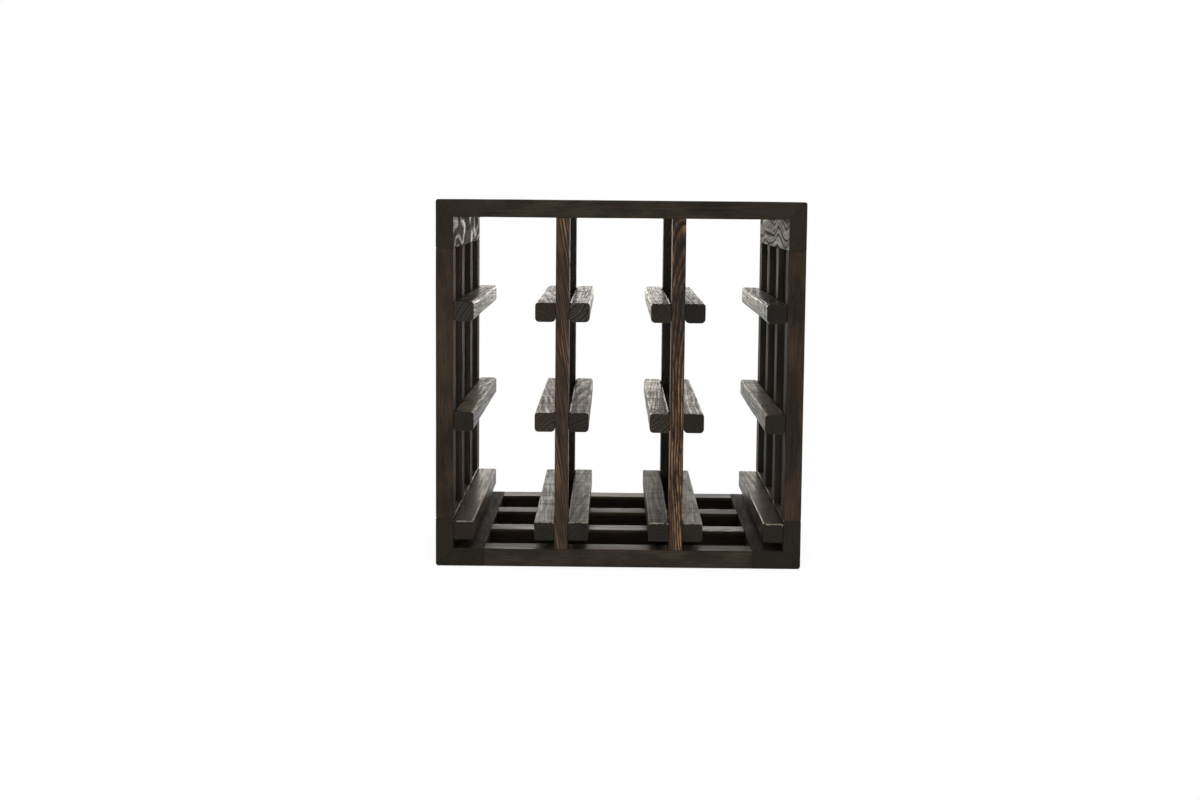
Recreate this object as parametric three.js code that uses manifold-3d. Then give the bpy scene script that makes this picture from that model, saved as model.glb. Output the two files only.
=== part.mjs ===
// A cube-shaped wooden wine rack for lying bottles, open at the front and the back.
//
// Four ladder panels, each two planks joined by four slats, meet in mitred corners and make the
// left, right, top and bottom of the cube. Two dividers, each a front and a back post, split the
// inside into three columns. Pairs of rails run from front to back and carry the bottles in three
// rows.
//
// Millimetres, +Z up, the front towards -Y. The origin is the centre of the footprint, on the
// floor.

import * as THREE from "three";
import { mergeVertices } from "three/addons/utils/BufferGeometryUtils.js";
import Module from "manifold-3d";

// The cube, outside.
const RACK_WIDTH = 380;
const RACK_DEPTH = 380;
const RACK_HEIGHT = 380;

// The four panels: planks and slats come from boards of one thickness.
const PANEL_THICKNESS = 18;
const PLANK_WIDTH = 50;
const SLAT_WIDTH = 32;
const SLATS_PER_PANEL = 4;
const CORNER_ROUNDING = 2.5;
const ARRIS_ROUNDING = 1;

// The divider posts, which are as deep as the slats that they stand on.
const POST_THICKNESS = 14;

// The bottle rails, the gap under the lowest ones and the clear height over the top ones.
const RAIL_WIDTH = 21;
const RAIL_HEIGHT = 20;
const RAIL_ROUNDING = 4;
const RAIL_END_CHAMFER = 1;
const RAIL_SETBACK = 1;
const LOWEST_RAIL_GAP = 9;
const TOP_BAY_HEIGHT = 87;

// Stub tenons: of the slats in the planks, and of the posts in the slats.
const TENON_THICKNESS = 8;
const TENON_WIDTH = 20;
const SLAT_TENON_LENGTH = 8;
const POST_TENON_LENGTH = 8;

// Dowels through the posts, and pegs of the same diameter on the outer rails.
const DOWEL_DIAMETER = 8;
const DOWEL_CHAMFER = 1;
const DOWEL_DEPTH_IN_RAIL = 13;
const PEG_DEPTH_IN_PANEL = 11;

// Fits: the glue between faces that meet, and the play round a tenon, a dowel or a peg.
const GLUE_LINE = 0.1;
const JOINT_PLAY = 0.2;

// Facets: pairs of them in each round of a section, and the sides of a dowel.
const ROUND_FACET_PAIRS = 2;
const ARRIS_FACET_PAIRS = 1;
const DOWEL_SIDES = 12;

const LEVELS = ["low", "middle", "top"];
const COLUMNS = ["left", "middle", "right"];
const DIVIDERS = ["left", "right"];

const PLANK_FINISH = { color: 0x2e2620, roughness: 0.5, metalness: 0 };
const SLAT_FINISH = { color: 0x3a2c22, roughness: 0.48, metalness: 0 };
const POST_FINISH = { color: 0x4a3423, roughness: 0.46, metalness: 0 };
const RAIL_FINISH = { color: 0x3d3128, roughness: 0.45, metalness: 0 };
const DOWEL_FINISH = { color: 0x8a6a48, roughness: 0.6, metalness: 0 };

// Places worked out from the sizes above.
const INNER_WIDTH = RACK_WIDTH - 2 * PANEL_THICKNESS;
const INNER_HEIGHT = RACK_HEIGHT - 2 * PANEL_THICKNESS;
const BAY_WIDTH = (INNER_WIDTH - DIVIDERS.length * POST_THICKNESS) / COLUMNS.length;
const COLUMN_PITCH = BAY_WIDTH + POST_THICKNESS;
const RAIL_PITCH =
  (INNER_HEIGHT - LOWEST_RAIL_GAP - RAIL_HEIGHT - TOP_BAY_HEIGHT) / (LEVELS.length - 1);
const LOWEST_RAIL_Z = PANEL_THICKNESS + LOWEST_RAIL_GAP + RAIL_HEIGHT / 2;
const RAIL_ZS = LEVELS.map((_, level) => LOWEST_RAIL_Z + level * RAIL_PITCH);
const FIRST_POST_X = -INNER_WIDTH / 2 + BAY_WIDTH + POST_THICKNESS / 2;
const POST_XS = DIVIDERS.map((_, divider) => FIRST_POST_X + divider * COLUMN_PITCH);
const SLAT_PITCH = (RACK_DEPTH - SLAT_WIDTH) / (SLATS_PER_PANEL - 1);
const FRONT_Y = (SLAT_WIDTH - RACK_DEPTH) / 2;
const SLAT_YS = Array.from({ length: SLATS_PER_PANEL }, (_, slat) => FRONT_Y + slat * SLAT_PITCH);
const OUTER_YS = { front: FRONT_Y, back: -FRONT_Y };
const DOWEL_RADIUS = DOWEL_DIAMETER / 2;

const AXIS_X = new THREE.Vector3(1, 0, 0);
const AXIS_Y = new THREE.Vector3(0, 1, 0);
const AXIS_Z = new THREE.Vector3(0, 0, 1);
const QUARTER_TURN = Math.PI / 2;

const wasm = await Module();
wasm.setup();

// A closed geometry as a solid that can be joined and cut.
function toSolid(geometry) {
  const bare = geometry.clone();
  bare.deleteAttribute("normal");
  bare.deleteAttribute("uv");
  const merged = mergeVertices(bare);
  return new wasm.Manifold(
    new wasm.Mesh({
      numProp: 3,
      vertProperties: merged.attributes.position.array,
      triVerts: new Uint32Array(merged.index.array),
    }),
  );
}

// One geometry with others joined to it and others cut out of it.
function shaped(geometry, joined, cutOut) {
  let solid = toSolid(geometry);
  for (const addition of joined) {
    solid = solid.add(toSolid(addition));
  }
  for (const cutter of cutOut) {
    solid = solid.subtract(toSolid(cutter));
  }
  const mesh = solid.getMesh();
  const result = new THREE.BufferGeometry();
  result.setAttribute("position", new THREE.BufferAttribute(mesh.vertProperties, 3));
  result.setIndex(new THREE.BufferAttribute(mesh.triVerts, 1));
  result.computeVertexNormals();
  return result;
}

// A named piece with its own finish.
function piece(name, geometry, finish) {
  const mesh = new THREE.Mesh(geometry, new THREE.MeshStandardMaterial(finish));
  mesh.name = name;
  return mesh;
}

// A rectangle about its centre, its corners rounded no further than its sides allow.
function roundedRectangle(width, height, rounding) {
  const radius = Math.min(rounding, 0.49 * width, 0.49 * height);
  const x = width / 2 - radius;
  const y = height / 2 - radius;
  const shape = new THREE.Shape();
  shape.absarc(x, y, radius, 0, QUARTER_TURN);
  shape.absarc(-x, y, radius, QUARTER_TURN, 2 * QUARTER_TURN);
  shape.absarc(-x, -y, radius, 2 * QUARTER_TURN, 3 * QUARTER_TURN);
  shape.absarc(x, -y, radius, 3 * QUARTER_TURN, 4 * QUARTER_TURN);
  shape.closePath();
  return shape;
}

// A bar of one section, centred along its length. The section's x and y lie along the two axes
// across the bar.
function bar(section, facetPairs, length, across, up, endChamfer = 0) {
  const geometry = new THREE.ExtrudeGeometry(section, {
    depth: length - 2 * endChamfer,
    bevelEnabled: endChamfer > 0,
    bevelThickness: endChamfer,
    bevelSize: endChamfer,
    bevelOffset: -endChamfer,
    bevelSegments: 1,
    curveSegments: facetPairs,
  });
  geometry.translate(0, 0, endChamfer - length / 2);
  const along = new THREE.Vector3().crossVectors(across, up);
  return geometry.applyMatrix4(new THREE.Matrix4().makeBasis(across, up, along));
}

// A dowel or a peg along X about its centre, its ends chamfered.
function dowel(length) {
  const endRadius = DOWEL_RADIUS - DOWEL_CHAMFER;
  const profile = [
    new THREE.Vector2(0, -length / 2),
    new THREE.Vector2(endRadius, -length / 2),
    new THREE.Vector2(DOWEL_RADIUS, DOWEL_CHAMFER - length / 2),
    new THREE.Vector2(DOWEL_RADIUS, length / 2 - DOWEL_CHAMFER),
    new THREE.Vector2(endRadius, length / 2),
    new THREE.Vector2(0, length / 2),
  ];
  return new THREE.LatheGeometry(profile, DOWEL_SIDES).rotateZ(-QUARTER_TURN);
}

// The bore for such a dowel, with play all round and at both ends.
function bore(length) {
  const radius = DOWEL_RADIUS + JOINT_PLAY;
  const hole = new THREE.CylinderGeometry(radius, radius, length + 2 * JOINT_PLAY, DOWEL_SIDES);
  return hole.rotateZ(-QUARTER_TURN);
}

// A tenon about its centre, or with play all round the mortise that it fits.
function tenon(sizeX, sizeY, sizeZ, play = 0) {
  return new THREE.BoxGeometry(sizeX + 2 * play, sizeY + 2 * play, sizeZ + 2 * play);
}

// A plank's section, x inwards from its mitred edge and y from its outer to its inner face. The
// outer corner of the cube is rounded across the mitre, so each plank has half of the round.
function mitredSection() {
  const setback = GLUE_LINE / Math.SQRT2;
  const shape = new THREE.Shape();
  shape.moveTo(setback + PANEL_THICKNESS, PANEL_THICKNESS);
  shape.absarc(
    setback + CORNER_ROUNDING,
    CORNER_ROUNDING,
    CORNER_ROUNDING,
    2.5 * QUARTER_TURN,
    3 * QUARTER_TURN,
  );
  shape.lineTo(PLANK_WIDTH, 0);
  shape.lineTo(PLANK_WIDTH, PANEL_THICKNESS);
  shape.closePath();
  return shape;
}

// One ladder panel, lying with its outer face at z = 0 and its slats along x from plank to plank.
// The cutters are the mortises and bores that the posts and rails need in its inner face.
function ladderPanel(name, span, plankNames, cutters) {
  const panel = new THREE.Group();
  const middleZ = PANEL_THICKNESS / 2;
  const shoulderX = span / 2 - PLANK_WIDTH - GLUE_LINE;
  const tenonX = shoulderX + SLAT_TENON_LENGTH / 2;

  const slatTenons = (y, play) =>
    [-tenonX, tenonX].map((x) =>
      tenon(SLAT_TENON_LENGTH, TENON_WIDTH, TENON_THICKNESS, play).translate(x, y, middleZ),
    );

  const mortises = SLAT_YS.flatMap((y) => slatTenons(y, JOINT_PLAY));
  plankNames.forEach((plankName, end) => {
    const plank = bar(mitredSection(), ARRIS_FACET_PAIRS, RACK_DEPTH, AXIS_X, AXIS_Z);
    plank.translate(-span / 2, 0, 0).rotateZ(end * Math.PI);
    const cut = shaped(plank, [], [...mortises, ...cutters]);
    panel.add(piece(`${name}_panel_${plankName}_plank`, cut, PLANK_FINISH));
  });

  const slatSection = roundedRectangle(SLAT_WIDTH, PANEL_THICKNESS, ARRIS_ROUNDING);
  SLAT_YS.forEach((y, index) => {
    const slat = bar(slatSection, ARRIS_FACET_PAIRS, 2 * shoulderX, AXIS_Y, AXIS_Z);
    slat.translate(0, y, middleZ);
    const cut = shaped(slat, slatTenons(y, 0), cutters);
    panel.add(piece(`${name}_panel_slat_${index + 1}`, cut, SLAT_FINISH));
  });
  return panel;
}

// The mortises that the posts need in the top and bottom panels, in the panel's own frame.
function postMortises() {
  const z = PANEL_THICKNESS - POST_TENON_LENGTH / 2;
  return POST_XS.flatMap((x) =>
    Object.values(OUTER_YS).map((y) =>
      tenon(TENON_THICKNESS, TENON_WIDTH, POST_TENON_LENGTH, JOINT_PLAY).translate(x, y, z),
    ),
  );
}

// The bores that the outer rails' pegs need in a side panel, in the panel's own frame. Its x runs
// up the right panel and down the left one.
function pegBores(upwards) {
  const z = PANEL_THICKNESS - PEG_DEPTH_IN_PANEL / 2;
  return RAIL_ZS.flatMap((railZ) =>
    Object.values(OUTER_YS).map((y) =>
      bore(PEG_DEPTH_IN_PANEL)
        .rotateY(QUARTER_TURN)
        .translate(upwards * (railZ - RACK_HEIGHT / 2), y, z),
    ),
  );
}

// The carcass: each panel is turned about Y until its inner face looks into the cube.
function carcass() {
  const bottom = ladderPanel("bottom", RACK_WIDTH, ["left", "right"], postMortises());

  const left = ladderPanel("left", RACK_HEIGHT, ["upper", "lower"], pegBores(-1));
  left.position.set(-RACK_WIDTH / 2, 0, RACK_HEIGHT / 2);
  left.rotation.y = QUARTER_TURN;

  const right = ladderPanel("right", RACK_HEIGHT, ["lower", "upper"], pegBores(1));
  right.position.set(RACK_WIDTH / 2, 0, RACK_HEIGHT / 2);
  right.rotation.y = -QUARTER_TURN;

  const top = ladderPanel("top", RACK_WIDTH, ["right", "left"], postMortises());
  top.position.set(0, 0, RACK_HEIGHT);
  top.rotation.y = 2 * QUARTER_TURN;

  return new THREE.Group().add(bottom, left, right, top);
}

// A divider post between the bottom and top panels, tenoned into both and bored for its dowels.
function post() {
  const length = INNER_HEIGHT - 2 * GLUE_LINE;
  const section = roundedRectangle(POST_THICKNESS, SLAT_WIDTH, ARRIS_ROUNDING);
  const tenonLength = POST_TENON_LENGTH + GLUE_LINE;
  const tenonZ = (length + tenonLength) / 2;
  const tenons = [-tenonZ, tenonZ].map((z) =>
    tenon(TENON_THICKNESS, TENON_WIDTH, tenonLength).translate(0, 0, z),
  );
  const bores = RAIL_ZS.map((z) => bore(POST_THICKNESS).translate(0, 0, z - RACK_HEIGHT / 2));
  return shaped(bar(section, ARRIS_FACET_PAIRS, length, AXIS_X, AXIS_Y), tenons, bores);
}

// The two dividers, each with its posts and the dowels that hold rails on both sides of a post.
function dividers() {
  const group = new THREE.Group();
  const dowelLength = POST_THICKNESS + 2 * (GLUE_LINE + DOWEL_DEPTH_IN_RAIL);
  DIVIDERS.forEach((divider, index) => {
    for (const [place, y] of Object.entries(OUTER_YS)) {
      const upright = piece(`${divider}_divider_${place}_post`, post(), POST_FINISH);
      upright.position.set(POST_XS[index], y, RACK_HEIGHT / 2);
      group.add(upright);
      LEVELS.forEach((level, row) => {
        const name = `${divider}_divider_${place}_dowel_${level}`;
        const peg = piece(name, dowel(dowelLength), DOWEL_FINISH);
        peg.position.set(POST_XS[index], y, RAIL_ZS[row]);
        group.add(peg);
      });
    }
  });
  return group;
}

// A rail about its centre. Side -1 or 1 is where its carrier stands: a side panel, which the rail's
// pegs enter, or a post, whose dowels enter the rail.
function rail(side, onPanel) {
  const section = roundedRectangle(RAIL_WIDTH, RAIL_HEIGHT, RAIL_ROUNDING);
  const length = RACK_DEPTH - 2 * RAIL_SETBACK;
  const blank = bar(section, ROUND_FACET_PAIRS, length, AXIS_X, AXIS_Z, RAIL_END_CHAMFER);
  const ys = Object.values(OUTER_YS);
  if (onPanel) {
    const pegLength = RAIL_WIDTH / 2 + GLUE_LINE + PEG_DEPTH_IN_PANEL;
    const pegs = ys.map((y) => dowel(pegLength).translate((side * pegLength) / 2, y, 0));
    return shaped(blank, pegs, []);
  }
  const boreX = (side * (RAIL_WIDTH - DOWEL_DEPTH_IN_RAIL)) / 2;
  return shaped(blank, [], ys.map((y) => bore(DOWEL_DEPTH_IN_RAIL).translate(boreX, y, 0)));
}

// The rails: in each column and row a pair, one on each side of the bay.
function rails() {
  const group = new THREE.Group();
  const reach = BAY_WIDTH / 2 - GLUE_LINE - RAIL_WIDTH / 2;
  const sides = { left: -1, right: 1 };
  COLUMNS.forEach((column, index) => {
    const columnX = (BAY_WIDTH - INNER_WIDTH) / 2 + index * COLUMN_PITCH;
    for (const [sideName, side] of Object.entries(sides)) {
      const onPanel = column === sideName;
      LEVELS.forEach((level, row) => {
        const name = `${column}_column_${sideName}_rail_${level}`;
        const bottleRail = piece(name, rail(side, onPanel), RAIL_FINISH);
        bottleRail.position.set(columnX + side * reach, 0, RAIL_ZS[row]);
        group.add(bottleRail);
      });
    }
  });
  return group;
}

const rack = new THREE.Group();
rack.add(carcass(), dividers(), rails());

export default rack;
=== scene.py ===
"""The looks of a cube-shaped wooden wine rack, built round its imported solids.

One Geometry Nodes tree makes every board that shows, with eased edges, a mitre where the board has
one and the slight unevenness of hand work. It also gives each board its own place in a log, so that
rings, fibres and end grain run through the wood from face to face. The dowels inside the joints
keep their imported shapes. Units are metres, +Z is up and the front looks towards -Y.
"""

import logging
import math
import random
from dataclasses import dataclass, replace
from enum import Enum
from functools import partial, reduce
from typing import Iterator, Union

import bpy
from mathutils import Matrix, Vector

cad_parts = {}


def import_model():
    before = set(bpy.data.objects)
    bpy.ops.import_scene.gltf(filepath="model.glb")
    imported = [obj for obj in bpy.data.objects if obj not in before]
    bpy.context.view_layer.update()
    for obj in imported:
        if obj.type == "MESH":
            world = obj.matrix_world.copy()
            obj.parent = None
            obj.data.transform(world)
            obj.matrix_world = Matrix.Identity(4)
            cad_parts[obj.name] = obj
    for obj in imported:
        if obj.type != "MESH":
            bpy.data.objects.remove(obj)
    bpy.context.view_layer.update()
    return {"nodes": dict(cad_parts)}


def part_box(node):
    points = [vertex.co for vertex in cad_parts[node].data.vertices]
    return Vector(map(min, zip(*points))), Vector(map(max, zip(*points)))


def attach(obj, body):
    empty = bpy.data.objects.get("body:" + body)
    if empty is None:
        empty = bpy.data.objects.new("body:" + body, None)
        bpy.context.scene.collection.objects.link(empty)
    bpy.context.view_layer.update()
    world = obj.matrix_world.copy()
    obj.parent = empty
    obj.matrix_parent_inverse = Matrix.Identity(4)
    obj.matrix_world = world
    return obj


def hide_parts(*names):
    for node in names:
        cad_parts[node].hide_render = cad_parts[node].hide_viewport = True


LOG = logging.getLogger("wine_rack")
BODY = "root"
MM = 0.001
SIDES = ("left", "right")

Socket = bpy.types.NodeSocket
Number = Union[float, Socket]
Triple = tuple[float, float, float]


class Way(Enum):
    """The directions in which the rack's boards lie."""

    RIGHT = (1, 0, 0)
    LEFT = (-1, 0, 0)
    BACK = (0, 1, 0)
    UP = (0, 0, 1)
    DOWN = (0, 0, -1)

    @property
    def vector(self) -> Vector:
        """The direction as a vector."""
        return Vector(self.value)


class Edge(Enum):
    """How the first long edge of a board is cut."""

    SQUARE = 0.0
    MITRED = 1.0


class Sawn(Enum):
    """Where the log's pith lies from a board, as an angle from the direction of the board's width."""

    PITH_BEYOND_EDGE = 0.0
    PITH_BEYOND_CORNER = math.pi / 4
    PITH_BEYOND_FACE = math.pi / 2


class Gloss(Enum):
    """Whether a lamp shows in the gloss of what it lights."""

    SHOWS = True
    HIDDEN = False


class Carried(Enum):
    """What a board's mesh carries for its finish.

    LOG is a point's place in the log, along the pith and from it. FACES holds how far a point is on
    an end, how far on an edge, and the board's dullness. CHARACTER holds tone, figure and warmth.
    """

    LOG = "log_place"
    FACES = "board_faces"
    CHARACTER = "board_character"


class NodeSketch:
    """A node tree written as formulas: each step adds a node and gives what it puts out."""

    # The Mix node's sockets for colours.
    FIRST_COLOUR = 6
    SECOND_COLOUR = 7
    MIXED_COLOUR = 2

    def __init__(self, tree: bpy.types.NodeTree) -> None:
        """Starts on a tree without nodes."""
        self.tree = tree

    def node(self, kind: str, *values: object, **settings: object) -> bpy.types.Node:
        """Adds a node.

        Args:
            kind: The node's type name.
            values: What its first inputs get.
            settings: Properties of the node.

        Returns:
            The new node.
        """
        made = self.tree.nodes.new(kind)
        for name, value in settings.items():
            setattr(made, name, value)
        return self.feed(made, dict(enumerate(values)))

    def feed(self, node: bpy.types.Node, inputs: dict[int | str, object]) -> bpy.types.Node:
        """Links what other nodes put out to a node's inputs, or sets plain values on them.

        Args:
            node: The node.
            inputs: What its inputs get, by their numbers or names.

        Returns:
            The same node.
        """
        for key, value in inputs.items():
            if isinstance(value, Socket):
                self.tree.links.new(value, node.inputs[key])
            else:
                node.inputs[key].default_value = value
        return node

    def math(self, operation: str, *values: Number) -> Socket:
        """One step of arithmetic, named as on the Math node."""
        return self.node("ShaderNodeMath", *values, operation=operation).outputs[0]

    def total(self, *values: Number) -> Socket:
        """The sum of some numbers."""
        return reduce(partial(self.math, "ADD"), values)

    def product(self, *values: Number) -> Socket:
        """The product of some numbers."""
        return reduce(partial(self.math, "MULTIPLY"), values)

    def minus(self, first: Number, second: Number) -> Socket:
        """The first number less the second."""
        return self.math("SUBTRACT", first, second)

    def vector(self, operation: str, *values: object) -> Socket:
        """One step of vector arithmetic, named as on the Vector Math node."""
        return self.node("ShaderNodeVectorMath", *values, operation=operation).outputs[0]

    def combine(self, x: Number, y: Number, z: Number) -> Socket:
        """A vector from three numbers."""
        return self.node("ShaderNodeCombineXYZ", x, y, z).outputs[0]

    def split(self, vector: Socket) -> tuple[Socket, ...]:
        """The three numbers of a vector."""
        return tuple(self.node("ShaderNodeSeparateXYZ", vector).outputs)

    def ease(self, value: Socket, low: Number, high: Number, start: float = 0.0, end: float = 1.0) -> Socket:
        """A smooth step from start to end, while the value goes from low to high."""
        limits = (low, high, start, end)
        return self.node("ShaderNodeMapRange", value, *limits, interpolation_type="SMOOTHSTEP").outputs[0]

    def noise(self, vector: Socket, stretch: object, detail: float = 2.0, colour: bool = False) -> Socket:
        """A noise of its own size along each axis.

        Args:
            vector: Where it is read, in metres.
            stretch: Features per metre along x, y and z.
            detail: Octaves of finer detail.
            colour: Whether to give three values instead of one.

        Returns:
            The noise, about 0.5.
        """
        place = self.vector("MULTIPLY", vector, stretch)
        made = self.node("ShaderNodeTexNoise")
        self.feed(made, {"Vector": place, "Scale": 1.0, "Detail": detail})
        return made.outputs["Color" if colour else "Fac"]

    def blend(self, share: Number, first: object, second: object, how: str = "MIX") -> Socket:
        """A mix of two colours.

        Args:
            share: How much of the second there is.
            first: The first colour.
            second: The second colour.
            how: The Mix node's blend type.

        Returns:
            The mixed colour.
        """
        made = self.node("ShaderNodeMix", share, data_type="RGBA", blend_type=how)
        for number, colour in ((self.FIRST_COLOUR, first), (self.SECOND_COLOUR, second)):
            self.feed(made, {number: (*colour, 1.0) if isinstance(colour, tuple) else colour})
        return made.outputs[self.MIXED_COLOUR]

    def carried(self, attribute: Carried) -> Socket:
        """A vector that the mesh carries."""
        return self.node("ShaderNodeAttribute", attribute_name=attribute.value).outputs["Vector"]

    def surface(self, kind: str, inputs: dict, output: str = "ShaderNodeOutputMaterial") -> None:
        """Ends a tree with a shader."""
        self.node(output, self.feed(self.node(kind), inputs).outputs[0])


def fresh_nodes(owner: Union[bpy.types.Material, bpy.types.World]) -> NodeSketch:
    """Empties the nodes of a material or of the world.

    Args:
        owner: The material or the world.

    Returns:
        The sketch to write its nodes with.
    """
    owner.use_nodes = True
    owner.node_tree.nodes.clear()
    return NodeSketch(owner.node_tree)


def put_in_scene(name: str, data: bpy.types.ID) -> bpy.types.Object:
    """Makes an object at the origin.

    Args:
        name: The object's name.
        data: Its mesh, lamp or camera.

    Returns:
        The object, in the scene.
    """
    made = bpy.data.objects.new(name, data)
    bpy.context.scene.collection.objects.link(made)
    return made


@dataclass(frozen=True)
class Mottle:
    """An uneven pattern in the wood, drawn out along the grain or across it.

    Attributes:
        along: Its features per metre along the grain.
        across: Its features per metre across the grain.
        detail: Its octaves of finer detail.
        low: Up to where, of a noise about 0.5, it doesn't show.
        high: From where it shows fully.
    """

    along: float
    across: float
    detail: float
    low: float = 0.3
    high: float = 0.7

    def plain(self, sketch: NodeSketch, place: Socket) -> Socket:
        """The bare noise, about 0.5."""
        return sketch.noise(place, (self.along, self.across, self.across), self.detail)

    def stepped(self, sketch: NodeSketch, place: Socket) -> Socket:
        """How far the pattern shows, from 0 to 1."""
        return sketch.ease(self.plain(sketch, place), self.low, self.high)


@dataclass(frozen=True)
class Character:
    """What sets one board apart from the next.

    Attributes:
        tone: Its lightness, 1 for an ordinary board.
        figure: How far the light streaks of its rings stand out, from 0 to 1.
        warmth: How red it is, from 0 to 1.
        dullness: How much duller than others of its finish it is.
        cut: Which length of the log it comes from.
    """

    tone: float = 1.0
    figure: float = 0.1
    warmth: float = 0.2
    dullness: float = 0.0
    cut: int = 0


class BoardTree:
    """The Geometry Nodes tree that makes one board from its sizes.

    The board lies along x about its middle, y goes from 0 to its width and z from 0 to its
    thickness. The cells of a box are spaced so that its long edges and its ends become rounds.
    """

    LONG_CELLS = 80
    WIDE_CELLS = 12
    THICK_CELLS = 16
    ROUND_CELLS = 4
    SHARPEST_SMOOTH_EDGE = math.radians(40)
    STRAIGHT_BY_MITRE = 12 * MM
    # The noises of hand work: how often they come in a metre, and the row that each is read from.
    WAVES_PER_METRE = 9.0
    DENTS_PER_METRE = (40.0, 70.0, 70.0)
    WEAR_PER_METRE = 30.0
    WAVES_ROW = 0.5
    FIRST_EDGE_ROW = 1.0
    SECOND_EDGE_ROW = 2.0
    # How deep dents are beside waves, and what share of a round is left by wear.
    DENTS_SHARE = 0.5
    LEAST_ROUND = 0.62
    ROUND_SPREAD = 0.7
    # Where on the turn of an end's round the end grain stops and the sides start, in radians.
    END_GRAIN_TO = 0.5
    SIDES_FROM = 1.1
    # How far past its round an edge counts as one, and how much a long edge counts beside an end's.
    PAST_LONG_EDGE = 1 * MM
    PAST_END_EDGE = 2 * MM
    LONG_EDGE_SHARE = 0.35
    SIZES = ("Length", "Width", "Thickness")
    ROUNDS = ("First Rounding", "Second Rounding", "End Rounding")
    SOCKETS = {
        "NodeSocketFloat": (*SIZES, *ROUNDS, "Mitre", "Unevenness", "Seed", "Dullness"),
        "NodeSocketVector": ("Log Offset", "Log Tilt", "Character"),
        "NodeSocketMaterial": ("Finish",),
    }

    def __init__(self) -> None:
        """Builds the tree."""
        self.tree = bpy.data.node_groups.new("board", "GeometryNodeTree")
        self.sketch = NodeSketch(self.tree)
        self.identifiers = {}
        for kind, names in self.SOCKETS.items():
            for name in names:
                socket = self.tree.interface.new_socket(name=name, in_out="INPUT", socket_type=kind)
                self.identifiers[name] = socket.identifier
        self.tree.interface.new_socket(name="Board", in_out="OUTPUT", socket_type="NodeSocketGeometry")
        self.given = self.sketch.node("NodeGroupInput").outputs
        self._build()

    def _spaced(self, share: Socket, cells: int, size: Socket, rounding: Socket) -> tuple[Socket, ...]:
        """Spaces the cells of one axis, with close ones in the rounds at both ends.

        Args:
            share: The place along the axis, from 0 to 1.
            cells: The number of cells along the axis.
            size: The board's size along it.
            rounding: The depth of the round at each end.

        Returns:
            The place in metres, the distance to the nearer end, and the turn of the round from 0 at
            the end to a right angle where the round is over.
        """
        sketch = self.sketch
        round_cells = float(self.ROUND_CELLS)
        step = sketch.product(share, float(cells))
        nearer = sketch.math("MINIMUM", step, sketch.minus(float(cells), step))
        part = sketch.math("MINIMUM", sketch.math("DIVIDE", nearer, round_cells), 1.0)
        turn = sketch.product(part, math.pi / 2)
        in_round = sketch.product(rounding, sketch.minus(1.0, sketch.math("COSINE", turn)))
        past_round = sketch.math("MAXIMUM", sketch.minus(nearer, round_cells), 0.0)
        flat = sketch.minus(sketch.product(size, 0.5), rounding)
        in_flat = sketch.product(sketch.math("DIVIDE", past_round, cells / 2 - round_cells), flat)
        distance = sketch.total(in_round, in_flat)
        far_side = sketch.math("GREATER_THAN", share, 0.5)
        mirrored = sketch.minus(size, sketch.product(distance, 2.0))
        place = sketch.total(distance, sketch.product(far_side, mirrored))
        return place, distance, turn

    def _inset(self, rounding: Socket, depth: Socket) -> Socket:
        """How far a round of that radius draws an edge in, at a depth under the face.

        Args:
            rounding: The round's radius.
            depth: The depth under the face.

        Returns:
            The inset.
        """
        sketch = self.sketch
        rest = sketch.minus(rounding, sketch.math("MINIMUM", depth, rounding))
        square = sketch.minus(sketch.product(rounding, rounding), sketch.product(rest, rest))
        return sketch.minus(rounding, sketch.math("SQRT", sketch.math("MAXIMUM", square, 0.0)))

    def _worn(self, rounding: Socket, x: Socket, row: float) -> Socket:
        """A rounding that wears more in some places along the board than in others.

        Args:
            rounding: The rounding as it was cut.
            x: The place along the board.
            row: The edge's own row of the noise.

        Returns:
            The worn rounding.
        """
        sketch = self.sketch
        place = sketch.combine(x, self.given["Seed"], row)
        noise = sketch.noise(place, (self.WEAR_PER_METRE, 1.0, 1.0))
        left = sketch.total(self.LEAST_ROUND, sketch.product(noise, self.ROUND_SPREAD))
        return sketch.product(rounding, left)

    def _uneven(self, place: Socket, x: Socket, depth: Socket) -> Socket:
        """Waves along the board and shallow dents, as a hand-planed board has.

        Args:
            place: The point on the board.
            x: Its place along the board.
            depth: How deep they are there.

        Returns:
            The point with its unevenness.
        """
        sketch, seed, share = self.sketch, self.given["Seed"], self.DENTS_SHARE
        waves_at = sketch.combine(x, seed, self.WAVES_ROW)
        waves = sketch.noise(waves_at, (self.WAVES_PER_METRE, 1.0, 1.0), colour=True)
        dents_at = sketch.vector("ADD", place, sketch.combine(seed, 0.0, 0.0))
        dents = sketch.noise(dents_at, self.DENTS_PER_METRE, colour=True)
        both = sketch.vector("ADD", waves, sketch.vector("MULTIPLY", dents, (0.0, share, share)))
        mean = (1.0 + share) / 2
        centred = sketch.vector("SUBTRACT", both, (0.0, mean, mean))
        offset = sketch.vector("MULTIPLY", centred, sketch.combine(0.0, depth, depth))
        return sketch.vector("ADD", place, offset)

    def _near(self, distance: Socket, rounding: Socket, past: float) -> Socket:
        """1 at an edge, and down to 0 at a distance past its round."""
        return self.sketch.ease(distance, 0.0, self.sketch.total(rounding, past), 1.0, 0.0)

    def _step(self, shape: Socket, kind: str, inputs: dict[str, object], **settings: object) -> Socket:
        """One step on the board's mesh."""
        made = self.sketch.node(f"GeometryNode{kind}", **settings)
        return self.sketch.feed(made, {"Geometry": shape, **inputs}).outputs[0]

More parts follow.
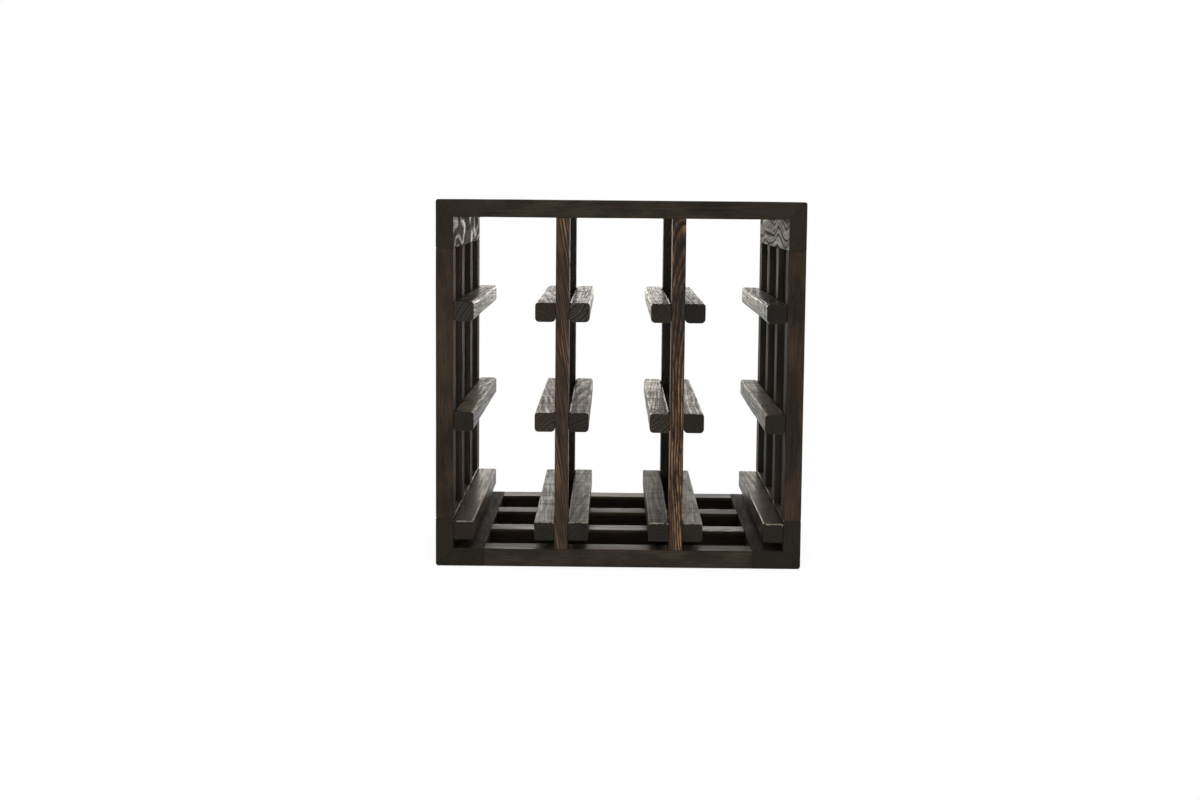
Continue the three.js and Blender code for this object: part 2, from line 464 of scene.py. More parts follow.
    def _build(self) -> None:
        """Writes the formulas of the board's shape and of what its mesh carries."""
        sketch, given = self.sketch, self.given
        at = sketch.node("GeometryNodeInputPosition").outputs[0]
        share_x, share_y, share_z = sketch.split(sketch.vector("ADD", at, (0.5, 0.5, 0.5)))

        length, width, thickness = (given[name] for name in self.SIZES)
        first_round, second_round, end_round = (given[name] for name in self.ROUNDS)
        along, to_end, end_turn = self._spaced(share_x, self.LONG_CELLS, length, end_round)
        x = sketch.minus(along, sketch.product(length, 0.5))
        z, to_face, _ = self._spaced(share_z, self.THICK_CELLS, thickness, first_round)

        mitre = given["Mitre"]
        not_mitred = sketch.minus(1.0, mitre)
        first_worn = self._worn(first_round, x, self.FIRST_EDGE_ROW)
        second_worn = self._worn(second_round, x, self.SECOND_EDGE_ROW)
        square_edge = sketch.product(not_mitred, self._inset(first_worn, to_face))
        mitred_edge = sketch.math("MAXIMUM", z, self._inset(first_round, z))
        first_edge = sketch.total(square_edge, sketch.product(mitre, mitred_edge))
        second_edge = sketch.minus(width, self._inset(second_worn, to_face))
        y_span = sketch.minus(second_edge, first_edge)
        from_first = sketch.product(share_y, y_span)
        to_side = sketch.math("MINIMUM", from_first, sketch.minus(y_span, from_first))

        end_inset = sketch.product(end_round, sketch.minus(1.0, sketch.math("SINE", end_turn)))
        y_pull = sketch.minus(sketch.product(not_mitred, sketch.minus(1.0, share_y)), share_y)
        y = sketch.total(first_edge, from_first, sketch.product(end_inset, y_pull))
        z_pull = sketch.minus(1.0, sketch.math("DIVIDE", sketch.product(z, 2.0), thickness))
        z = sketch.total(z, sketch.product(end_inset, z_pull))
        place = sketch.combine(x, y, z)
        by_mitre = sketch.ease(from_first, 0.0, self.STRAIGHT_BY_MITRE, 1.0, 0.0)
        free = sketch.minus(1.0, sketch.product(mitre, by_mitre))
        position = self._uneven(place, x, sketch.product(given["Unevenness"], free))

        tilted = sketch.vector("MULTIPLY", sketch.combine(x, x, x), given["Log Tilt"])
        log_place = sketch.vector("ADD", sketch.vector("ADD", place, tilted), given["Log Offset"])
        end_face = sketch.ease(end_turn, self.END_GRAIN_TO, self.SIDES_FROM, 1.0, 0.0)
        by_face = self._near(to_face, first_round, self.PAST_LONG_EDGE)
        by_side = self._near(to_side, second_round, self.PAST_LONG_EDGE)
        by_end = self._near(to_end, end_round, self.PAST_END_EDGE)
        long_edge = sketch.product(by_face, by_side, self.LONG_EDGE_SHARE)
        end_edge = sketch.product(share_y, share_y, by_side, by_end)
        faces = sketch.combine(end_face, sketch.math("MAXIMUM", long_edge, end_edge), given["Dullness"])
        carried = {Carried.LOG: log_place, Carried.FACES: faces, Carried.CHARACTER: given["Character"]}
        self._carry_out(carried, position)

    def _carry_out(self, carried: dict[Carried, Socket], position: Socket) -> None:
        """Adds the nodes that make a box, store what it carries, shape it and give it its finish.

        Args:
            carried: What the mesh carries.
            position: Where each of its points goes.
        """
        sketch = self.sketch
        box = sketch.node("GeometryNodeMeshCube")
        for axis, cells in zip("XYZ", (self.LONG_CELLS, self.WIDE_CELLS, self.THICK_CELLS)):
            sketch.feed(box, {f"Vertices {axis}": cells + 1})
        shape = box.outputs["Mesh"]
        for attribute, value in carried.items():
            stored = {"Name": attribute.value, "Value": value}
            shape = self._step(shape, "StoreNamedAttribute", stored, data_type="FLOAT_VECTOR", domain="POINT")
        angle = sketch.node("GeometryNodeInputMeshEdgeAngle").outputs["Unsigned Angle"]
        smooth = sketch.math("LESS_THAN", angle, self.SHARPEST_SMOOTH_EDGE)
        shape = self._step(shape, "SetPosition", {"Position": position})
        shape = self._step(shape, "SetShadeSmooth", {"Shade Smooth": smooth}, domain="EDGE")
        shape = self._step(shape, "RealizeInstances", {})
        shape = self._step(shape, "SetMaterial", {"Material": self.given["Finish"]})
        sketch.node("NodeGroupOutput", shape)

    def mesh(self, name: str, **values: object) -> bpy.types.Mesh:
        """Makes one board as a plain mesh.

        Args:
            name: The mesh's name.
            values: The tree's inputs, by their names in lower case with underscores.

        Returns:
            The mesh, in the tree's own frame.
        """
        carrier = put_in_scene("carrier", bpy.data.meshes.new("carrier"))
        modifier = carrier.modifiers.new("board", "NODES")
        modifier.node_group = self.tree
        for key, value in values.items():
            modifier[self.identifiers[key.replace("_", " ").title()]] = value
        depsgraph = bpy.context.evaluated_depsgraph_get()
        made = bpy.data.meshes.new_from_object(
            carrier.evaluated_get(depsgraph), preserve_all_data_layers=True, depsgraph=depsgraph
        )
        made.name = name
        empty = carrier.data
        bpy.data.objects.remove(carrier)
        bpy.data.meshes.remove(empty)
        return made


class ShaderGroups:
    """The effects that the wood finishes share, each a node group that is built once."""

    BREAKS = Mottle(22.0, 300.0, 3.0, 0.32, 0.58)
    FIBRES = Mottle(28.0, 640.0, 3.0)
    PORES = Mottle(75.0, 1500.0, 1.0, 0.6, 0.72)
    STAINS = Mottle(24.0, 60.0, 3.0)
    PATCHES = Mottle(4.0, 30.0, 2.0, 0.38, 0.62)
    DULL_LINES = Mottle(14.0, 380.0, 3.0, 0.4, 0.64)
    SAW_MARKS = Mottle(170.0, 22.0, 3.0, 0.46, 0.68)
    RUBS = Mottle(70.0, 260.0, 3.0)
    # In a metre, how often grain bends across the board and seasons change, and by how many rings.
    BENDS_ACROSS = 16.0
    SEASONS_PER_METRE = 110.0
    SEASONS_SPREAD = 2.6
    # Over what share of a ring it turns light, and from where it turns dark again.
    LIGHT_OVER = 0.6
    DARK_FROM = 0.88
    # What it takes for a rub to show, and how much the wear's amount and an edge do for it.
    RUB_NEEDED = 1.05
    RUB_BY_AMOUNT = 0.6
    RUB_BY_EDGE = 0.42
    RUB_FADE = 0.14

    def __init__(self) -> None:
        """Builds the groups."""
        self.grain = self._grain()
        self.wear = self._wear()

    @staticmethod
    def _begin(name: str, *inputs: str) -> tuple[NodeSketch, list[Socket]]:
        """Starts a shader node group of plain numbers.

        Args:
            name: The group's name.
            inputs: The names of its inputs, which each material sets.

        Returns:
            The sketch to write it with, and its inputs.
        """
        tree = bpy.data.node_groups.new(name, "ShaderNodeTree")
        for socket in inputs:
            tree.interface.new_socket(name=socket, in_out="INPUT", socket_type="NodeSocketFloat")
        sketch = NodeSketch(tree)
        given = sketch.node("NodeGroupInput").outputs
        return sketch, [given[socket] for socket in inputs]

    @staticmethod
    def _end(sketch: NodeSketch, outputs: dict[str, Socket]) -> bpy.types.NodeTree:
        """Ends a group with what it puts out.

        Args:
            sketch: The sketch that it was written with.
            outputs: Its outputs, by name.

        Returns:
            The group.
        """
        for name in outputs:
            sketch.tree.interface.new_socket(name=name, in_out="OUTPUT", socket_type="NodeSocketFloat")
        sketch.node("NodeGroupOutput", *outputs.values())
        return sketch.tree

    def _grain(self) -> bpy.types.NodeTree:
        """Grown wood: rings about a pith, fibres, pores, the uneven take-up of the stain, saw marks.

        Returns:
            The group, with a value for each of them.
        """
        sketch, given = self._begin("grown_wood", "Ring Width", "Wander", "Waves", "Light From")
        ring_width, wander, waves, light_from = given
        straight = sketch.carried(Carried.LOG)
        bends_in_metre = sketch.combine(waves, self.BENDS_ACROSS, self.BENDS_ACROSS)
        bends = sketch.noise(straight, bends_in_metre, detail=1.0, colour=True)
        drift = sketch.vector("SUBTRACT", bends, (0.5, 0.5, 0.5))
        drifted = sketch.vector("MULTIPLY", drift, sketch.combine(0.0, wander, wander))
        place = sketch.vector("ADD", straight, drifted)
        _, y, z = sketch.split(place)
        radius = sketch.math("SQRT", sketch.total(sketch.product(y, y), sketch.product(z, z)))
        years = sketch.math("DIVIDE", radius, ring_width)
        outwards = sketch.combine(radius, 0.0, 0.0)
        seasons = sketch.noise(outwards, (self.SEASONS_PER_METRE, 1.0, 1.0), detail=1.0)
        growth = sketch.math("FRACT", sketch.total(years, sketch.product(seasons, self.SEASONS_SPREAD)))
        rise = sketch.ease(growth, light_from, sketch.total(light_from, self.LIGHT_OVER))
        ring = sketch.product(rise, sketch.ease(growth, self.DARK_FROM, 1.0, 1.0, 0.0))
        outputs = {
            "Ring": ring,
            "Streak": sketch.product(ring, self.BREAKS.stepped(sketch, place)),
            "Fibre": self.FIBRES.plain(sketch, place),
            "Pore": self.PORES.stepped(sketch, place),
            "Stain": self.STAINS.stepped(sketch, place),
            "Patch": self.PATCHES.stepped(sketch, place),
            "Dull": self.DULL_LINES.stepped(sketch, place),
            "Saw": self.SAW_MARKS.stepped(sketch, straight),
        }
        return self._end(sketch, outputs)

    def _wear(self) -> bpy.types.NodeTree:
        """Marks along the edges, where the stain is rubbed off.

        Returns:
            The group, with the wear from 0 to 1.
        """
        sketch, (amount,) = self._begin("edge_wear", "Amount")
        _, edge, _ = sketch.split(sketch.carried(Carried.FACES))
        rubs = self.RUBS.plain(sketch, sketch.carried(Carried.LOG))
        needed = sketch.minus(self.RUB_NEEDED, sketch.product(amount, self.RUB_BY_AMOUNT))
        reached = sketch.total(sketch.product(edge, self.RUB_BY_EDGE), rubs)
        wear = sketch.ease(sketch.minus(reached, needed), 0.0, self.RUB_FADE)
        return self._end(sketch, {"Wear": sketch.product(wear, edge)})


@dataclass(frozen=True)
class WoodFinish:
    """A stained wood with a satin oil finish.

    Attributes:
        name: The finish's name.
        slot: The name of a material slot; not used.
        dark: The stain where the wood took it up most.
        brown: The stain where it took up less.
        streak: The light wood of a ring where the stain stayed thin.
        end: The end grain.
        end_line: The light lines of its rings.
        worn: The wood at a rubbed edge.
        ring_width: The width of a year's growth.
        wear: How far the edges are rubbed, from 0 to 1.
        relief: The height of the rings on the brushed face.
        roughness: How dull its glossiest parts are.
        ring_dullness: How much duller the wood between the rings is.
        patch_dullness: How much duller some patches are.
        wander: How far the grain wanders across the board.
        waves: How often it does so in a metre.
        light_from: Where in a ring the light wood starts, from 0 for most of it.
        fibre_contrast: How much lighter and darker single fibres are.
        saw_dullness: How much duller and darker the marks of the saw across it are.
    """

    name: str
    slot: str
    dark: Triple = (0.0098, 0.0086, 0.0067)
    brown: Triple = (0.0320, 0.0236, 0.0152)
    streak: Triple = (0.180, 0.108, 0.058)
    end: Triple = (0.0140, 0.0110, 0.0070)
    end_line: Triple = (0.052, 0.046, 0.035)
    worn: Triple = (0.19, 0.155, 0.115)
    ring_width: float = 3.0 * MM
    wear: float = 0.1
    relief: float = 0.2 * MM
    roughness: float = 0.3
    ring_dullness: float = 0.1
    patch_dullness: float = 0.08
    wander: float = 12 * MM
    waves: float = 9.0
    light_from: float = 0.25
    fibre_contrast: float = 0.18
    saw_dullness: float = 0.0

    # The same for every finish: colour, then dullness, then relief and gloss.
    LEAST_STREAK = 0.25
    WARM_TINT = (1.25, 0.94, 0.82)
    PORE_DARKNESS = 0.55
    WORN_SHARE = 0.8
    FIBRE_DULLNESS = 0.14
    PORE_DULLNESS = 0.12
    LINE_DULLNESS = 0.1
    END_DULLNESS = 0.1
    LEAST_ROUGHNESS = 0.215
    RING_HEIGHT = 0.6
    FIBRE_HEIGHT = 0.5
    PORE_DEPTH = 0.5
    BUMP_STRENGTH = 0.4
    SPECULAR_LEVEL = 0.17

    def material(self, groups: ShaderGroups) -> bpy.types.Material:
        """Makes the finish.

        Args:
            groups: The shared effects.

        Returns:
            The material.
        """
        made = bpy.data.materials.new(self.name)
        sketch = fresh_nodes(made)
        growth = (self.ring_width, self.wander, self.waves, self.light_from)
        grain = sketch.node("ShaderNodeGroup", *growth, node_tree=groups.grain)
        ring, streak, fibre, pore, stain, patch, dull_lines, saw_marks = grain.outputs
        wear = sketch.node("ShaderNodeGroup", self.wear, node_tree=groups.wear).outputs[0]
        end_face, _, dullness = sketch.split(sketch.carried(Carried.FACES))
        tone, figure, warmth = sketch.split(sketch.carried(Carried.CHARACTER))
        between = sketch.minus(1.0, ring)
        saw = sketch.product(saw_marks, self.saw_dullness)

        stained = sketch.blend(stain, self.dark, self.brown)
        shown = sketch.product(streak, figure, sketch.ease(patch, 0.0, 1.0, self.LEAST_STREAK, 1.0))
        streaked = sketch.blend(shown, stained, self.streak)
        ends = sketch.blend(sketch.product(between, figure), self.end, self.end_line)
        cut = sketch.blend(end_face, streaked, ends)
        warm = sketch.blend(warmth, cut, sketch.blend(1.0, cut, self.WARM_TINT, "MULTIPLY"))
        darker, lighter = 1.0 - self.fibre_contrast, 1.0 + self.fibre_contrast
        fibres = sketch.ease(fibre, groups.FIBRES.low, groups.FIBRES.high, darker, lighter)
        pores = sketch.minus(1.0, sketch.product(pore, self.PORE_DARKNESS))
        light = sketch.product(fibres, pores, sketch.minus(tone, saw))
        toned = sketch.blend(1.0, warm, sketch.combine(light, light, light), "MULTIPLY")
        colour = sketch.blend(sketch.product(wear, self.WORN_SHARE), toned, self.worn)

        sheen = sketch.total(
            self.roughness,
            saw,
            sketch.product(dullness, sketch.minus(1.0, end_face)),
            sketch.product(between, self.ring_dullness),
            sketch.product(sketch.minus(fibre, 0.5), self.FIBRE_DULLNESS),
            sketch.product(pore, self.PORE_DULLNESS),
            sketch.product(dull_lines, self.LINE_DULLNESS),
            sketch.product(patch, self.patch_dullness),
            sketch.product(end_face, self.END_DULLNESS),
        )
        rings, raised = sketch.product(ring, self.RING_HEIGHT), sketch.product(fibre, self.FIBRE_HEIGHT)
        height = sketch.minus(sketch.total(rings, raised), sketch.product(pore, self.PORE_DEPTH))
        bump = sketch.node("ShaderNodeBump")
        sketch.feed(bump, {"Strength": self.BUMP_STRENGTH, "Distance": self.relief, "Height": height})
        looks = {
            "Base Color": colour,
            "Roughness": sketch.math("MAXIMUM", sheen, self.LEAST_ROUGHNESS),
            "Normal": bump.outputs[0],
            "Specular IOR Level": self.SPECULAR_LEVEL,
        }
        sketch.surface("ShaderNodeBsdfPrincipled", looks)
        return made


@dataclass(frozen=True)
class DowelFinish:
    """Bare beech for the dowels in the joints, with the colours and the roughness of its fibres."""

    name: str = "bare_dowel_wood"
    light: Triple = (0.36, 0.21, 0.10)
    deep: Triple = (0.24, 0.13, 0.055)
    smoothest: float = 0.6
    roughest: float = 0.75

    FIBRES = Mottle(60.0, 1400.0, 3.0)
    SMOOTH_TO = 0.2
    ROUGH_FROM = 0.8

    def material(self) -> bpy.types.Material:
        """Makes the finish, with its fibres along the dowels.

        Returns:
            The material.
        """
        made = bpy.data.materials.new(self.name)
        sketch = fresh_nodes(made)
        place = sketch.node("ShaderNodeTexCoord").outputs["Object"]
        fibre = self.FIBRES.plain(sketch, place)
        shown = sketch.ease(fibre, self.FIBRES.low, self.FIBRES.high)
        colour = sketch.blend(shown, self.deep, self.light)
        sheen = sketch.ease(fibre, self.SMOOTH_TO, self.ROUGH_FROM, self.smoothest, self.roughest)
        sketch.surface("ShaderNodeBsdfPrincipled", {"Base Color": colour, "Roughness": sheen})
        return made


@dataclass
class Board:
    """One board that shows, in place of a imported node.

    Attributes:
        node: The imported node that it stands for.
        centre: The middle of the board.
        across: The direction of its width. A mitred edge is where the width starts.
        through: The direction of its thickness. On a plank that is from its outer to its inner face.
        length: Its length between shoulders.
        width: Its width.
        thickness: Its thickness.
        rounding: The radius of its long edges.
        second_rounding: The radius of the long edges where its width ends, where it differs.
        end_rounding: The easing of its ends.
        edge: How the first long edge is cut.
        character: What sets it apart.
        sawn: Where the pith lies from it.
        run_out: How steeply its grain may run across it.
    """

    node: str
    centre: Vector
    across: Way
    through: Way
    length: float
    width: float
    thickness: float
    rounding: float
    second_rounding: float | None = None
    end_rounding: float = 0.35 * MM
    edge: Edge = Edge.SQUARE
    character: Character = Character()
    sawn: Sawn = Sawn.PITH_BEYOND_FACE
    run_out: float = 0.04

    UNEVENNESS = 0.35 * MM
    NEAREST_PITH = 18 * MM
    FURTHEST_PITH = 60 * MM
    SAWN_SPREAD = 0.5
    LOG_LENGTH = 40
    NOISE_ROWS = 100
    SEEDS_PER_CUT = 1000

    @classmethod
    def within(cls, node: str, across: Way, through: Way, tenon: float = 0.0, **rest: object) -> "Board":
        """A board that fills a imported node's box, apart from its tenons.

        Args:
            node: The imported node.
            across: The direction of the board's width.
            through: The direction of its thickness.
            tenon: The length of the tenon at each of its ends.
            rest: Its other fields.

        Returns:
            The board.
        """
        low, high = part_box(node)
        ways = (across.vector.cross(through.vector), across.vector, through.vector)
        length, width, thickness = (abs((high - low).dot(way)) for way in ways)
        middle = (low + high) / 2
        return cls(node, middle, across, through, length - 2 * tenon, width, thickness, **rest)

    def build(self, tree: BoardTree, material: bpy.types.Material, seed: int) -> bpy.types.Object:
        """Makes the board and puts it in its place.

        Args:
            tree: The tree that makes boards.
            material: Its finish.
            seed: The seed of what is drawn for it.

        Returns:
            The board's object, at the origin, with its place in its mesh.
        """
        drawn = random.Random(seed + self.SEEDS_PER_CUT * self.character.cut)
        turned_round = drawn.choice((0.0, math.pi))
        side = drawn.choice((-1.0, 1.0))
        angle = side * self.sawn.value + turned_round + drawn.uniform(-self.SAWN_SPREAD, self.SAWN_SPREAD)
        reach = drawn.uniform(self.NEAREST_PITH, self.FURTHEST_PITH)
        tilt = (drawn.uniform(-1, 1) * self.run_out, drawn.uniform(-1, 1) * self.run_out)
        pith = (self.width / 2 + reach * math.cos(angle), self.thickness / 2 + reach * math.sin(angle))
        second = self.rounding if self.second_rounding is None else self.second_rounding
        mesh = tree.mesh(
            self.node,
            length=self.length,
            width=self.width,
            thickness=self.thickness,
            first_rounding=self.rounding,
            second_rounding=second,
            end_rounding=self.end_rounding,
            mitre=self.edge.value,
            unevenness=self.UNEVENNESS,
            seed=drawn.uniform(0, self.NOISE_ROWS),
            log_offset=(drawn.uniform(0, self.LOG_LENGTH), -pith[0], -pith[1]),
            log_tilt=(0.0, *tilt),
            character=(self.character.tone, self.character.figure, self.character.warmth),
            dullness=self.character.dullness,
            finish=material,
        )
        across, through = self.across.vector, self.through.vector
        along = across.cross(through)
        corner = self.centre - across * self.width / 2 - through * self.thickness / 2
        turned = Matrix((along, across, through)).transposed().to_4x4()
        mesh.transform(Matrix.Translation(corner) @ turned)
        mesh.update()
        return put_in_scene(f"{self.node}_board", mesh)


@dataclass
class LadderPanel:
    """One side of the cube: two planks with four slats between them.

    Attributes:
        name: The panel's name.
        inwards: The direction from its outer to its inner face.
        planks: Each plank's name and the direction from its mitred edge to its slats.
        plank_width: The width of a plank at its outer face, up to the point of its mitre.
        slat_tenon: The length of the tenon at each end of a slat, hidden in the plank.
        corner_rounding: The rounding of the cube's long edges.
        arris: The rounding of the other edges.
        slat_count: The number of slats.
    """

    name: str
    inwards: Way
    planks: dict[str, Way]
    plank_width: float = 50 * MM
    slat_tenon: float = 8 * MM
    corner_rounding: float = 2.5 * MM
    arris: float = 1.0 * MM
    slat_count: int = 4

    def plank_boards(self) -> Iterator[Board]:
        """The panel's two planks. A plank's box lacks what is rounded off the point of its mitre.

        Yields:
            Each plank's board.
        """
        rounds = {"rounding": self.corner_rounding, "second_rounding": self.arris}
        for plank, across in self.planks.items():
            node = f"{self.name}_panel_{plank}_plank"
            board = Board.within(node, across, self.inwards, edge=Edge.MITRED, **rounds)
            board.centre -= across.vector * (self.plank_width - board.width) / 2
            board.width = self.plank_width
            yield board

    def slat_boards(self) -> Iterator[Board]:
        """The panel's slats, from plank to plank.

        Yields:
            Each slat's board.
        """
        for number in range(1, self.slat_count + 1):
            node = f"{self.name}_panel_slat_{number}"
            yield Board.within(node, Way.BACK, self.inwards, self.slat_tenon, rounding=self.arris)


@dataclass
class Divider:
    """A front and a back post that part two columns.

    Attributes:
        name: The divider's name.
        tenon: The length of the tenon at each end of a post, hidden in the panels.
        arris: The rounding of the posts' edges.
        run_out: How steeply the posts' grain may run across them.
    """

    name: str
    tenon: float = 8.1 * MM
    arris: float = 1.0 * MM
    run_out: float = 0.18

    def boards(self) -> Iterator[Board]:
        """The divider's posts.

        Yields:
            Each post's board.
        """
        grown = {"sawn": Sawn.PITH_BEYOND_EDGE, "run_out": self.run_out}
        for place in ("front", "back"):
            node = f"{self.name}_divider_{place}_post"
            yield Board.within(node, Way.RIGHT, Way.BACK, self.tenon, rounding=self.arris, **grown)


@dataclass
class RailRow:
    """The rails of one row, a pair in each column.

    Attributes:
        level: The row's name.
        lower_rounding: The rounding of the rails' lower edges.
        upper_rounding: The rounding of their upper edges.
        end_rounding: The rounding of their ends.
        columns: The columns' names.
    """

    level: str
    lower_rounding: float = 4.0 * MM
    upper_rounding: float = 3.0 * MM
    end_rounding: float = 0.9 * MM
    columns: tuple[str, ...] = ("left", "middle", "right")

    def boards(self) -> Iterator[Board]:
        """The row's rails. The outer ones have pegs in the side panels, which their boxes take in.

        Yields:
            Each rail's board.
        """
        low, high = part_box(f"middle_column_left_rail_{self.level}")
        width = (high - low).x
        rounds = {"rounding": self.lower_rounding, "second_rounding": self.upper_rounding}
        cut = {"end_rounding": self.end_rounding, "sawn": Sawn.PITH_BEYOND_CORNER}
        for column in self.columns:
            for side, inwards in zip(SIDES, (Way.RIGHT, Way.LEFT)):
                node = f"{column}_column_{side}_rail_{self.level}"
                board = Board.within(node, Way.UP, Way.RIGHT, **rounds, **cut)
                low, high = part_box(node)
                bay_side = high.x if inwards is Way.RIGHT else low.x
                board.centre.x = bay_side - inwards.vector.x * width / 2
                board.thickness = width
                yield board


@dataclass
class Rack:
    """The whole rack: four panels, two dividers and three rows of rails, and the finish of each.

    The low rails have more wear along their edges, and those beside the side panels fainter saw marks.
    """

    plank_finish: WoodFinish = WoodFinish(
        "plank_wood",
        "plank_wood",
        wear=0.0,
        roughness=0.25,
        ring_dullness=0.32,
        patch_dullness=0.16,
        ring_width=8 * MM,
        wander=34 * MM,
        waves=8.0,
        light_from=0.1,
        relief=0.1 * MM,
    )
    bottom_plank_finish: WoodFinish = replace(
        plank_finish, name="bottom_plank_wood", roughness=0.49, ring_dullness=0.07, patch_dullness=0.1
    )
    slat_finish: WoodFinish = WoodFinish("slat_wood", "slat_wood", wear=0.05, roughness=0.46)
    post_finish: WoodFinish = WoodFinish(
        "post_wood",
        "post_wood",
        brown=(0.0240, 0.0180, 0.0120),
        streak=(0.330, 0.200, 0.106),
        wear=0.05,
        roughness=0.32,
        ring_width=2.3 * MM,
        wander=13 * MM,
        waves=8.0,
        light_from=0.2,
        fibre_contrast=0.45,
    )
    rail_finish: WoodFinish = WoodFinish(
        "rail_wood",
        "rail_wood",
        dark=(0.020, 0.0165, 0.011),
        brown=(0.072, 0.054, 0.031),
        end=(0.0085, 0.0068, 0.0044),
        end_line=(0.066, 0.057, 0.043),
        wear=0.1,
        roughness=0.232,
        ring_dullness=0.1,
        patch_dullness=0.05,
        wander=6 * MM,
        light_from=0.1,
        fibre_contrast=0.3,
        saw_dullness=0.14,
        relief=0.06 * MM,
    )
    low_rail_finish: WoodFinish = replace(
        rail_finish,
        name="low_rail_wood",
        end=(0.0095, 0.0082, 0.0063),
        worn=(0.28, 0.24, 0.19),
        wear=0.45,
        roughness=0.275,
        ring_dullness=0.07,
    )
    outer_low_rail_finish: WoodFinish = replace(
        low_rail_finish, name="outer_low_rail_wood", roughness=0.27, ring_dullness=0.04, saw_dullness=0.05
    )
    dowel_finish: DowelFinish = DowelFinish()
    dowel_slot: str = "dowel_wood"

    @staticmethod
    def characters() -> dict[str, Character]:
        """The boards that look different from the rest.

        Returns:
            What sets them apart, by node.
        """
        apart = {
            "bottom_panel_slat_1": Character(1.0, 0.1, 0.3, -0.12),
            "left_panel_upper_plank": Character(1.2, 0.1, 0.0, 0.09, 3),
            "right_panel_upper_plank": Character(1.1, 0.1, 0.0, 0.09, 3),
            "right_divider_front_post": Character(0.76, 1.0, 0.5, 0.0, 3),
            "left_divider_front_post": Character(1.3, 0.34, 0.4, 0.0, 2),
            "left_column_left_rail_top": Character(0.9, 0.6, 0.0, -0.05),
            "left_column_right_rail_top": Character(1.35, 0.2, 0.5, -0.08),
            "middle_column_left_rail_top": Character(0.85, 0.9, 0.0, -0.07),
            "middle_column_right_rail_top": Character(1.0, 0.3, 0.2, -0.09),
            "right_column_left_rail_top": Character(0.7, 0.1, 0.0, -0.06),
            "right_column_right_rail_top": Character(0.8, 0.1, 0.0, -0.04),
            "left_column_right_rail_middle": Character(1.5, 0.3, 0.45),
            "middle_column_left_rail_middle": Character(0.9, 0.3, 0.1, 0.03),
            "middle_column_right_rail_middle": Character(1.0, 0.6, 0.2, -0.03),
            "left_column_left_rail_low": Character(0.85, 0.1, 0.9),
            "left_column_right_rail_low": Character(0.85, 0.1, 0.1, -0.02),
            "middle_column_left_rail_low": Character(0.85, 0.2, 0.0, 0.05),
            "middle_column_right_rail_low": Character(0.7, 0.2, 0.0, 0.12),
            "right_column_left_rail_low": Character(dullness=0.03),
            "right_column_right_rail_low": Character(0.75, 0.1, 0.5),
        }
        for number, dullness in ((2, -0.26), (3, -0.12), (4, -0.2)):
            apart[f"bottom_panel_slat_{number}"] = Character(figure=0.05, dullness=dullness)
        for number in range(1, LadderPanel.slat_count + 1):
            apart[f"top_panel_slat_{number}"] = Character(1.05, 0.05, 0.0)
            apart[f"left_panel_slat_{number}"] = Character(1.05, 0.045, 0.45, 0.04)
            apart[f"right_panel_slat_{number}"] = Character(0.72, 0.045, 0.1, 0.04)
        apart["right_panel_slat_1"] = apart["left_panel_slat_1"]
        for side in SIDES:
            apart[f"bottom_panel_{side}_plank"] = Character(0.85, 0.1, 0.0, 0.05)
            apart[f"{side}_panel_lower_plank"] = Character(0.85, 0.1, 0.0)
            apart[f"top_panel_{side}_plank"] = Character(1.4, 0.1, 0.0)
            apart[f"{side}_divider_back_post"] = Character(0.8, 0.1, 0.1)
        return apart

    def boards(self) -> Iterator[tuple[Board, WoodFinish]]:
        """Every board with its finish, in the order in which the rack is put together.

        Yields:
            A board and its finish.
        """
        panels = (
            LadderPanel("bottom", Way.UP, {"left": Way.RIGHT, "right": Way.LEFT}),
            LadderPanel("left", Way.RIGHT, {"upper": Way.DOWN, "lower": Way.UP}),
            LadderPanel("right", Way.LEFT, {"lower": Way.UP, "upper": Way.DOWN}),
            LadderPanel("top", Way.DOWN, {"right": Way.LEFT, "left": Way.RIGHT}),
        )
        for panel in panels:
            finish = self.bottom_plank_finish if panel.inwards is Way.UP else self.plank_finish
            yield from ((board, finish) for board in panel.plank_boards())
            yield from ((board, self.slat_finish) for board in panel.slat_boards())
        for name in SIDES:
            yield from ((board, self.post_finish) for board in Divider(name).boards())
        for board in RailRow("low", lower_rounding=2.0 * MM, upper_rounding=1.4 * MM).boards():
            outer = board.node.startswith(("left_column_left", "right_column_right"))
            yield board, self.outer_low_rail_finish if outer else self.low_rail_finish
        for row in (RailRow("middle"), RailRow("top", lower_rounding=4.5 * MM)):
            yield from ((board, self.rail_finish) for board in row.boards())

    def build(self, nodes: dict[str, bpy.types.Object]) -> None:
        """Makes every board and dresses the dowels.

        Args:
            nodes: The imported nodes, by name.
        """
        tree, groups, characters = BoardTree(), ShaderGroups(), self.characters()
        materials: dict[str, bpy.types.Material] = {}
        for seed, (board, finish) in enumerate(self.boards()):
            if finish.name not in materials:
                materials[finish.name] = finish.material(groups)
            board.character = characters.get(board.node, board.character)
            made = board.build(tree, materials[finish.name], seed)
            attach(made, BODY)
            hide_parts(board.node)
            LOG.info("%s: %d faces", made.name, len(made.data.polygons))
        dowel_wood = self.dowel_finish.material()
        for name, node in nodes.items():
            if "_dowel_" in name:
                node.data.materials.clear()
                node.data.materials.append(dowel_wood)
                LOG.info("%s: dressed", name)


